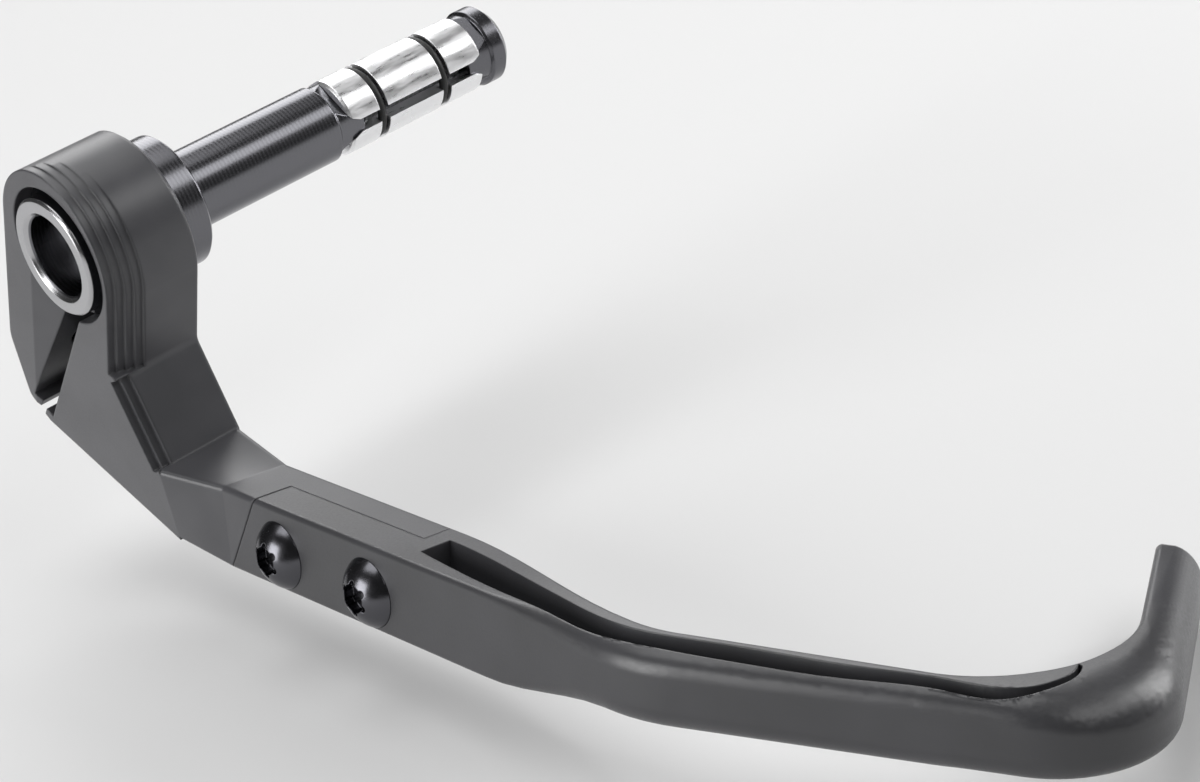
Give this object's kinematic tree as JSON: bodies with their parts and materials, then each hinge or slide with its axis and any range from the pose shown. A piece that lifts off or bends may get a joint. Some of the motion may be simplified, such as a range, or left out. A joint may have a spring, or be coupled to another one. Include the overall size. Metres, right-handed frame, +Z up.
{
  "type": "brake lever guard",
  "caption": "Motorcycle bar-end guard: an expander plug holds a clamp arm and a hooked moulded blade that shields the brake lever from contact.",
  "frame": {"origin": "centre of the collar's inboard face, which seats on the end of the handlebar", "axes": "+X along the plug into the bar, -Y forward in the direction of travel, +Z up"},
  "size_m": [0.0886, 0.2025, 0.0764],
  "materials": {
    "polished_black_aluminium": "polished black anodised",
    "matte_black_aluminium": "bead-blasted matte black anodised",
    "moulded_polyamide": "matte moulded",
    "bare_aluminium": "bare turned",
    "black_nut": "satin black anodised",
    "rubber": "matte",
    "black_screw_steel": "shiny black",
    "bolt_steel": "satin"
  },
  "bodies": {
    "plug": {"plug_body": "polished_black_aluminium", "washer": "bolt_steel", "o_ring_1": "rubber", "o_ring_2": "rubber"},
    "bolt": {"draw_bolt": "bolt_steel"},
    "nut": {"cone_nut": "black_nut"},
    "segment_1": {"expander_segment_1": "bare_aluminium"},
    "segment_2": {"expander_segment_2": "bare_aluminium"},
    "segment_3": {"expander_segment_3": "bare_aluminium"},
    "arm": {"arm_bracket": "matte_black_aluminium", "pinch_screw": "black_screw_steel", "guard_blade": "moulded_polyamide", "blade_screw_1": "black_screw_steel", "blade_screw_2": "black_screw_steel"}
  },
  "joints": [
    {"name": "arm_swivel", "type": "hinge", "parent": "plug", "child": "arm", "pos_m": [0, 0, 0], "axis": [1, 0, 0], "continuous": true},
    {"name": "draw_bolt_turn", "type": "hinge", "parent": "plug", "child": "bolt", "pos_m": [0, 0, 0], "axis": [1, 0, 0], "range_deg": [0, 1260]},
    {"name": "nut_draw", "type": "slide", "parent": "plug", "child": "nut", "axis": [-1, 0, 0], "range_m": [0, 0.0035]},
    {"name": "segment_1_spread", "type": "slide", "parent": "plug", "child": "segment_1", "axis": [-0.9397, -0.2106, 0.2695], "range_m": [0, 0.00186], "deforming": ["o_ring_1", "o_ring_2"]},
    {"name": "segment_2_spread", "type": "slide", "parent": "plug", "child": "segment_2", "axis": [-0.9397, 0.3387, 0.0476], "range_m": [0, 0.00186]},
    {"name": "segment_3_spread", "type": "slide", "parent": "plug", "child": "segment_3", "axis": [-0.9397, -0.1281, -0.3171], "range_m": [0, 0.00186]}
  ],
  "couplings": [
    {"joint": "nut_draw", "follows": "draw_bolt_turn", "m_per_rad": 0.00015915},
    {"joint": "segment_1_spread", "follows": "draw_bolt_turn", "m_per_rad": 0.000084684},
    {"joint": "segment_2_spread", "follows": "draw_bolt_turn", "m_per_rad": 0.000084684},
    {"joint": "segment_3_spread", "follows": "draw_bolt_turn", "m_per_rad": 0.000084684}
  ]
}
